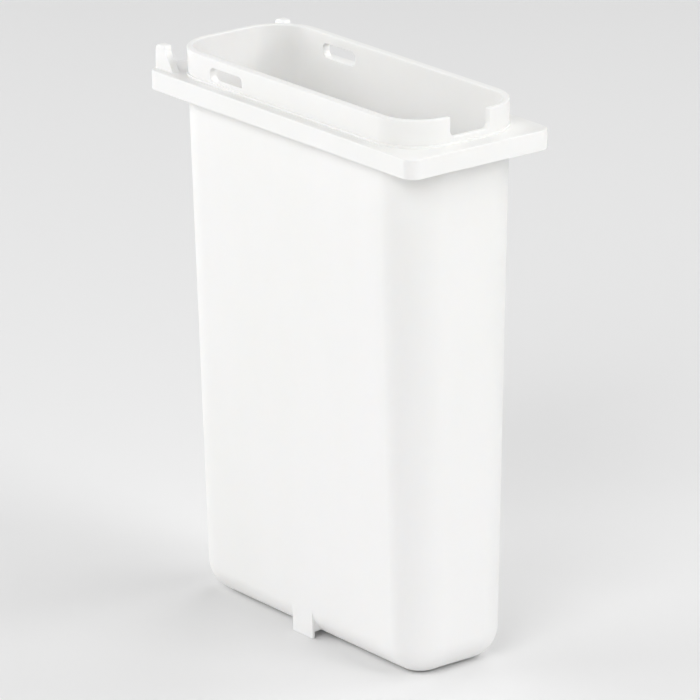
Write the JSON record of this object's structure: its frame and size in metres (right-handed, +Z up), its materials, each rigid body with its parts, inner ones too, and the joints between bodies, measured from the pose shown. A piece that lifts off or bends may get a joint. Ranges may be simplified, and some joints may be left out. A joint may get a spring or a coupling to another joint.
{
  "type": "slim deep food jar",
  "caption": "Tall narrow open-topped plastic jar with tapering walls, a skirted flange near the top, a slotted and notched collar, two corner posts and a foot tab on each long side.",
  "frame": {"origin": "middle of the flat face that the jar stands on", "axes": "+Z up out of the mouth, +X along the long side towards the notched end, Y across the narrow side"},
  "size_m": [0.22, 0.0908, 0.2994],
  "materials": {
    "jar_plastic": "satin white, slightly translucent"
  },
  "bodies": {
    "root": {"tub_walls": "jar_plastic", "tub_floor": "jar_plastic", "flange_plate": "jar_plastic", "flange_skirt": "jar_plastic", "collar": "jar_plastic", "collar_bead": "jar_plastic", "corner_post_front": "jar_plastic", "corner_post_rear": "jar_plastic", "foot_tab_front": "jar_plastic", "foot_tab_rear": "jar_plastic"}
  },
  "joints": []
}
